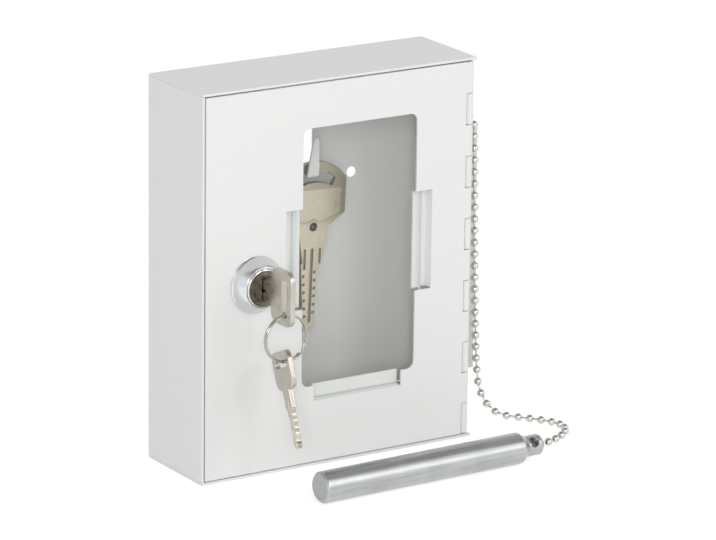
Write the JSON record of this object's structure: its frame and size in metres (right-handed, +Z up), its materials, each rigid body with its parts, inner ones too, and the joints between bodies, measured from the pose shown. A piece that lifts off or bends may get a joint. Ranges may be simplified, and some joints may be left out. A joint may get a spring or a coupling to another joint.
{
  "type": "break glass key box",
  "caption": "Shallow sheet steel key box with a piano-hinged door, glass window held by tabs, cam lock with keys, hook with an emergency key, and a hammer rod on a ball chain.",
  "frame": {"origin": "middle of the case's underside, where it stands", "axes": "+X to the right as seen from the front, +Y from the door to the wall behind, +Z up"},
  "size_m": [0.1487, 0.0843, 0.15],
  "materials": {
    "powder_coat": "smooth satin light grey powder coat",
    "glass": "clear float glass with a faint green edge",
    "bright_chrome": "bright chrome plating",
    "nickel_silver": "milled nickel silver with fine lengthwise marks",
    "nickel_plate": "nickel plating",
    "zinc_steel": "zinc plated steel",
    "hammer_steel": "turned and satin polished steel",
    "dark_pin": "blackened steel"
  },
  "bodies": {
    "case": {"case_shell": "powder_coat", "left_wall": "powder_coat", "right_wall": "powder_coat", "lock_keeper": "powder_coat", "hinge_strip": "powder_coat", "hinge_pin": "zinc_steel", "hammer_holder": "powder_coat", "holder_rivets": "zinc_steel", "chain_anchor": "zinc_steel", "ball_chain": "nickel_plate"},
    "door": {"door_panel": "powder_coat", "glass_pane": "glass", "lock_rosette": "bright_chrome", "lock_housing": "bright_chrome", "lock_nut": "zinc_steel"},
    "lock core": {"lock_plug": "nickel_silver", "lock_cam": "zinc_steel", "cam_washer": "zinc_steel", "cam_screw": "zinc_steel"},
    "inserted key": {"lock_key": "nickel_silver"},
    "ring": {"key_ring": "nickel_plate"},
    "hanging key": {"spare_key": "nickel_silver"},
    "hooked key": {"emergency_key": "nickel_silver", "emergency_key_pin": "dark_pin"},
    "hammer": {"hammer_rod": "hammer_steel", "hammer_chain_end": "nickel_plate"}
  },
  "joints": [
    {"name": "door_hinge", "type": "hinge", "parent": "case", "child": "door", "pos_m": [0.05735, -0.01835, 0], "axis": [0, 0, 1], "range_deg": [0, 95]},
    {"name": "lock_turn", "type": "hinge", "parent": "door", "child": "lock core", "pos_m": [-0.037, -0.02, 0.075], "axis": [0, 1, 0], "range_deg": [0, 90]},
    {"name": "key_withdraw", "type": "slide", "parent": "lock core", "child": "inserted key", "axis": [0, -1, 0], "range_m": [0, 0.025]},
    {"name": "ring_swing", "type": "hinge", "parent": "inserted key", "child": "ring", "pos_m": [-0.037, -0.0417, 0.06855], "axis": [-1, 0, 0], "range_deg": [-8, 25]},
    {"name": "spare_swing", "type": "hinge", "parent": "ring", "child": "hanging key", "pos_m": [-0.037, -0.0417, 0.05105], "axis": [-1, 0, 0], "range_deg": [-12, 12]},
    {"name": "emergency_key_swing", "type": "hinge", "parent": "case", "child": "hooked key", "pos_m": [0.0075, 0.0122, 0.10455], "axis": [-1, 0, 0], "range_deg": [-4, 12]},
    {"name": "hammer_swing", "type": "hinge", "parent": "case", "child": "hammer", "pos_m": [0.0714, -0.0562, 0], "axis": [0, 0, 1], "range_deg": [0, 95]}
  ],
  "couplings": [
    {"joint": "hammer_swing", "follows": "door_hinge", "ratio": 1}
  ]
}
